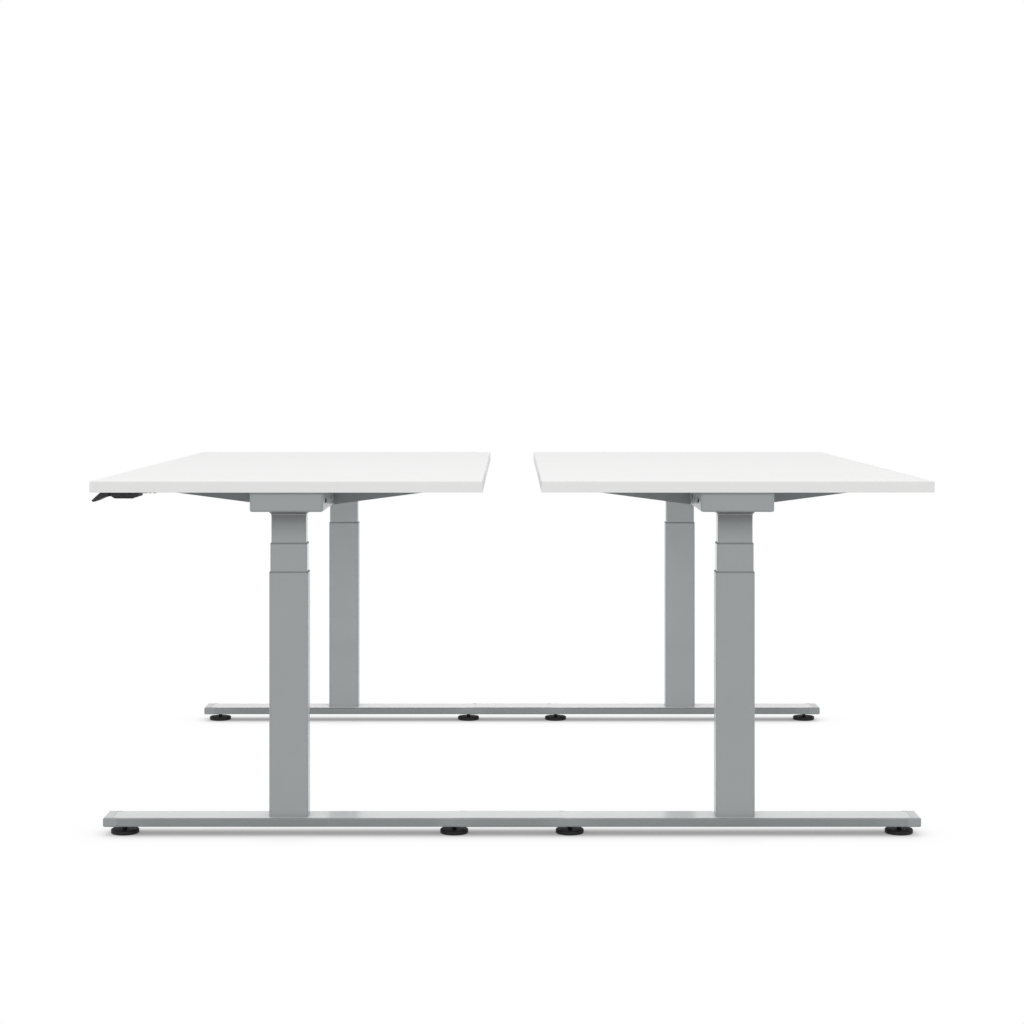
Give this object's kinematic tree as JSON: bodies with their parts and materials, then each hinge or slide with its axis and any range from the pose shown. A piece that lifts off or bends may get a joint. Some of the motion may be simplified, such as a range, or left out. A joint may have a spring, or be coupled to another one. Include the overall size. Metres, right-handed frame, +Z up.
{
  "type": "height-adjustable team desk",
  "caption": "Back-to-back electric height-adjustable team desk with white tops on silver telescopic columns, shared floor feet and tilt-paddle handsets.",
  "frame": {"origin": "on the floor, under the middle of the pair of desks", "axes": "+X across the pair towards the right desk, +Y along the desks towards the rear end, +Z up"},
  "size_m": [1.7498, 1.6, 0.731],
  "materials": {
    "top_white": "white melamine-faced board, fine matt grain",
    "silver_coat": "silver-grey fine-texture powder coat",
    "silver_plastic": "silver-grey moulded plastic",
    "collar_plastic": "dark grey moulded plastic",
    "foot_black": "black moulded plastic",
    "bright_steel": "bright zinc-plated steel",
    "motor_dark": "dark painted motor and gearbox",
    "control_plastic": "dark grey moulded plastic",
    "handset_plastic": "dark blue-grey moulded plastic",
    "lead_grey": "grey flexible cable sheath"
  },
  "bodies": {
    "base": {"foot_rails": "silver_coat", "foot_joints": "silver_plastic", "foot_end_caps": "silver_plastic", "outer_tube_collars": "collar_plastic", "spindle_posts": "bright_steel", "column_base_screws": "bright_steel", "outer_tube_front_left": "silver_coat", "outer_tube_rear_left": "silver_coat", "outer_tube_front_right": "silver_coat", "outer_tube_rear_right": "silver_coat"},
    "levelling_foot_front_left_inner": {"levelling_foot_front_left_inner": "foot_black"},
    "levelling_foot_front_left_outer": {"levelling_foot_front_left_outer": "foot_black"},
    "levelling_foot_rear_left_inner": {"levelling_foot_rear_left_inner": "foot_black"},
    "levelling_foot_rear_left_outer": {"levelling_foot_rear_left_outer": "foot_black"},
    "left_middle": {"middle_tube_front_left": "silver_coat", "middle_tube_rear_left": "silver_coat", "middle_tube_collars_left": "collar_plastic"},
    "left_desk": {"inner_tube_front_left": "silver_coat", "head_box_front_left": "silver_coat", "inner_tube_rear_left": "silver_coat", "head_box_rear_left": "silver_coat", "tabletop_left": "top_white", "support_arms_left": "silver_coat", "crossbars_left": "silver_coat", "gear_motors_left": "motor_dark", "control_box_left": "control_plastic", "handset_housing_left": "handset_plastic", "handset_lead_left": "lead_grey", "lead_clips_left": "control_plastic", "tabletop_screws_left": "bright_steel"},
    "left_paddle": {"handset_paddle_left": "handset_plastic"},
    "spindle_tube_front_left": {"spindle_tube_front_left": "bright_steel"},
    "drive_shaft_front_left": {"drive_shaft_front_left": "bright_steel"},
    "spindle_tube_rear_left": {"spindle_tube_rear_left": "bright_steel"},
    "drive_shaft_rear_left": {"drive_shaft_rear_left": "bright_steel"},
    "levelling_foot_front_right_inner": {"levelling_foot_front_right_inner": "foot_black"},
    "levelling_foot_front_right_outer": {"levelling_foot_front_right_outer": "foot_black"},
    "levelling_foot_rear_right_inner": {"levelling_foot_rear_right_inner": "foot_black"},
    "levelling_foot_rear_right_outer": {"levelling_foot_rear_right_outer": "foot_black"},
    "right_middle": {"middle_tube_front_right": "silver_coat", "middle_tube_rear_right": "silver_coat", "middle_tube_collars_right": "collar_plastic"},
    "right_desk": {"inner_tube_front_right": "silver_coat", "head_box_front_right": "silver_coat", "inner_tube_rear_right": "silver_coat", "head_box_rear_right": "silver_coat", "tabletop_right": "top_white", "support_arms_right": "silver_coat", "crossbars_right": "silver_coat", "gear_motors_right": "motor_dark", "control_box_right": "control_plastic", "handset_housing_right": "handset_plastic", "handset_lead_right": "lead_grey", "lead_clips_right": "control_plastic", "tabletop_screws_right": "bright_steel"},
    "right_paddle": {"handset_paddle_right": "handset_plastic"},
    "spindle_tube_front_right": {"spindle_tube_front_right": "bright_steel"},
    "drive_shaft_front_right": {"drive_shaft_front_right": "bright_steel"},
    "spindle_tube_rear_right": {"spindle_tube_rear_right": "bright_steel"},
    "drive_shaft_rear_right": {"drive_shaft_rear_right": "bright_steel"}
  },
  "joints": [
    {"name": "levelling_foot_front_left_inner_screw", "type": "slide", "parent": "base", "child": "levelling_foot_front_left_inner", "axis": [0, 0, -1], "range_m": [0, 0.01]},
    {"name": "levelling_foot_front_left_outer_screw", "type": "slide", "parent": "base", "child": "levelling_foot_front_left_outer", "axis": [0, 0, -1], "range_m": [0, 0.01]},
    {"name": "levelling_foot_rear_left_inner_screw", "type": "slide", "parent": "base", "child": "levelling_foot_rear_left_inner", "axis": [0, 0, -1], "range_m": [0, 0.01]},
    {"name": "levelling_foot_rear_left_outer_screw", "type": "slide", "parent": "base", "child": "levelling_foot_rear_left_outer", "axis": [0, 0, -1], "range_m": [0, 0.01]},
    {"name": "left_lift", "type": "slide", "parent": "base", "child": "left_desk", "axis": [0, 0, 1], "range_m": [-0.1, 0.55]},
    {"name": "left_middle_slide", "type": "slide", "parent": "base", "child": "left_middle", "axis": [0, 0, 1], "range_m": [-0.0501, 0.2751]},
    {"name": "left_paddle_tilt", "type": "hinge", "parent": "left_desk", "child": "left_paddle", "pos_m": [-0.843, -0.665, 0.702], "axis": [0, 1, 0], "range_deg": [-7, 7], "stiffness_Nm_per_rad": 0.6},
    {"name": "spindle_tube_front_left_turn", "type": "hinge", "parent": "left_middle", "child": "spindle_tube_front_left", "pos_m": [-0.46, -0.725, 0.5], "axis": [0, 0, 1], "range_deg": [-3601, 19801]},
    {"name": "drive_shaft_front_left_turn", "type": "hinge", "parent": "left_desk", "child": "drive_shaft_front_left", "pos_m": [-0.46, -0.725, 0.5], "axis": [0, 0, 1], "range_deg": [-3601, 19801]},
    {"name": "spindle_tube_rear_left_turn", "type": "hinge", "parent": "left_middle", "child": "spindle_tube_rear_left", "pos_m": [-0.46, 0.725, 0.5], "axis": [0, 0, 1], "range_deg": [-3601, 19801]},
    {"name": "drive_shaft_rear_left_turn", "type": "hinge", "parent": "left_desk", "child": "drive_shaft_rear_left", "pos_m": [-0.46, 0.725, 0.5], "axis": [0, 0, 1], "range_deg": [-3601, 19801]},
    {"name": "levelling_foot_front_right_inner_screw", "type": "slide", "parent": "base", "child": "levelling_foot_front_right_inner", "axis": [0, 0, -1], "range_m": [0, 0.01]},
    {"name": "levelling_foot_front_right_outer_screw", "type": "slide", "parent": "base", "child": "levelling_foot_front_right_outer", "axis": [0, 0, -1], "range_m": [0, 0.01]},
    {"name": "levelling_foot_rear_right_inner_screw", "type": "slide", "parent": "base", "child": "levelling_foot_rear_right_inner", "axis": [0, 0, -1], "range_m": [0, 0.01]},
    {"name": "levelling_foot_rear_right_outer_screw", "type": "slide", "parent": "base", "child": "levelling_foot_rear_right_outer", "axis": [0, 0, -1], "range_m": [0, 0.01]},
    {"name": "right_lift", "type": "slide", "parent": "base", "child": "right_desk", "axis": [0, 0, 1], "range_m": [-0.1, 0.55]},
    {"name": "right_middle_slide", "type": "slide", "parent": "base", "child": "right_middle", "axis": [0, 0, 1], "range_m": [-0.0501, 0.2751]},
    {"name": "right_paddle_tilt", "type": "hinge", "parent": "right_desk", "child": "right_paddle", "pos_m": [0.843, 0.665, 0.702], "axis": [0, -1, 0], "range_deg": [-7, 7], "stiffness_Nm_per_rad": 0.6},
    {"name": "spindle_tube_front_right_turn", "type": "hinge", "parent": "right_middle", "child": "spindle_tube_front_right", "pos_m": [0.46, -0.725, 0.5], "axis": [0, 0, 1], "range_deg": [-3601, 19801]},
    {"name": "drive_shaft_front_right_turn", "type": "hinge", "parent": "right_desk", "child": "drive_shaft_front_right", "pos_m": [0.46, -0.725, 0.5], "axis": [0, 0, 1], "range_deg": [-3601, 19801]},
    {"name": "spindle_tube_rear_right_turn", "type": "hinge", "parent": "right_middle", "child": "spindle_tube_rear_right", "pos_m": [0.46, 0.725, 0.5], "axis": [0, 0, 1], "range_deg": [-3601, 19801]},
    {"name": "drive_shaft_rear_right_turn", "type": "hinge", "parent": "right_desk", "child": "drive_shaft_rear_right", "pos_m": [0.46, 0.725, 0.5], "axis": [0, 0, 1], "range_deg": [-3601, 19801]}
  ],
  "couplings": [
    {"joint": "left_middle_slide", "follows": "left_lift", "ratio": 0.5},
    {"joint": "spindle_tube_front_left_turn", "follows": "left_lift", "rad_per_m": 628.32},
    {"joint": "drive_shaft_front_left_turn", "follows": "left_lift", "rad_per_m": 628.32},
    {"joint": "spindle_tube_rear_left_turn", "follows": "left_lift", "rad_per_m": 628.32},
    {"joint": "drive_shaft_rear_left_turn", "follows": "left_lift", "rad_per_m": 628.32},
    {"joint": "right_middle_slide", "follows": "right_lift", "ratio": 0.5},
    {"joint": "spindle_tube_front_right_turn", "follows": "right_lift", "rad_per_m": 628.32},
    {"joint": "drive_shaft_front_right_turn", "follows": "right_lift", "rad_per_m": 628.32},
    {"joint": "spindle_tube_rear_right_turn", "follows": "right_lift", "rad_per_m": 628.32},
    {"joint": "drive_shaft_rear_right_turn", "follows": "right_lift", "rad_per_m": 628.32}
  ]
}
